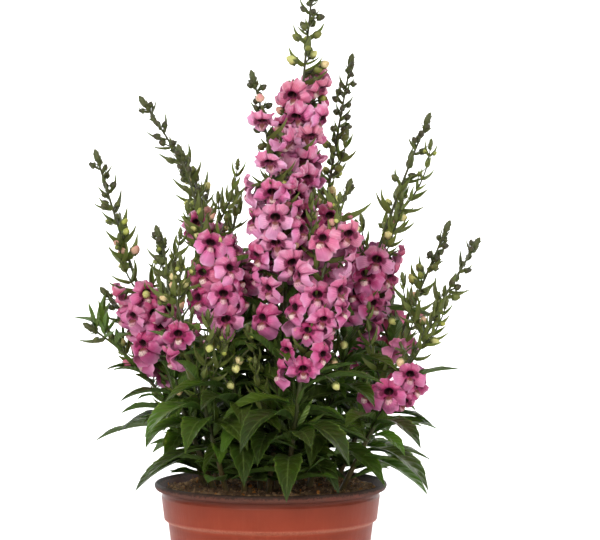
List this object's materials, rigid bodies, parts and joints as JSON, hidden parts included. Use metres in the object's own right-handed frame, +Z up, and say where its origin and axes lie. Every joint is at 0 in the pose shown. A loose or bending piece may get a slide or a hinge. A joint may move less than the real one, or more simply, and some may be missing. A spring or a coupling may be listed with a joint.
{
  "type": "potted angelonia",
  "caption": "Bushy flowering bedding plant with upright racemes of small two-lipped pink blooms, toothed dark leaves and bud tips, standing in soil in a plain round nursery pot.",
  "frame": {"origin": "centre of the pot's flat base, on the surface it stands on", "axes": "+Z up along the pot's axis, -Y towards the front of the plant, +X to its right as seen from the front"},
  "size_m": [0.2072, 0.1629, 0.354],
  "materials": {
    "terracotta_plastic": "thin terracotta-coloured plastic with a soft sheen and a dusty lip",
    "potting_soil": "dark moist crumbly potting mix",
    "foliage": "glossy dark green leaves, stems and buds with paler ribs",
    "petals": "soft pink petals with a dark maroon throat and a white lip patch"
  },
  "bodies": {
    "root": {"blooms_back_centre_1": "petals", "blooms_back_centre_2": "petals", "blooms_back_centre_3": "petals", "blooms_back_left_1": "petals", "blooms_back_low_left_1": "petals", "blooms_back_low_right_1": "petals", "blooms_back_right_1": "petals", "blooms_back_right_2": "petals", "blooms_behind_right_1": "petals", "blooms_behind_right_2": "petals", "blooms_beside_centre_1": "petals", "blooms_centre_1": "petals", "blooms_centre_2": "petals", "blooms_front_right_1": "petals", "blooms_front_right_2": "petals", "blooms_front_right_3": "petals", "blooms_front_right_4": "petals", "blooms_left_companion_1": "petals", "blooms_left_high_1": "petals", "blooms_left_high_2": "petals", "blooms_left_inner_1": "petals", "blooms_left_outer_1": "petals", "blooms_left_outer_2": "petals", "blooms_right_back_1": "petals", "blooms_right_high_1": "petals", "blooms_right_high_2": "petals", "blooms_right_outer_1": "petals", "blooms_right_outer_2": "petals", "pot": "terracotta_plastic", "soil": "potting_soil", "stem_back_centre": "foliage", "stem_back_left": "foliage", "stem_back_low_left": "foliage", "stem_back_low_right": "foliage", "stem_back_right": "foliage", "stem_behind_right": "foliage", "stem_beside_centre": "foliage", "stem_centre": "foliage", "stem_front_right": "foliage", "stem_left_companion": "foliage", "stem_left_high": "foliage", "stem_left_inner": "foliage", "stem_left_low": "foliage", "stem_left_lowest": "foliage", "stem_left_outer": "foliage", "stem_right_back": "foliage", "stem_right_high": "foliage", "stem_right_outer": "foliage"}
  },
  "joints": []
}
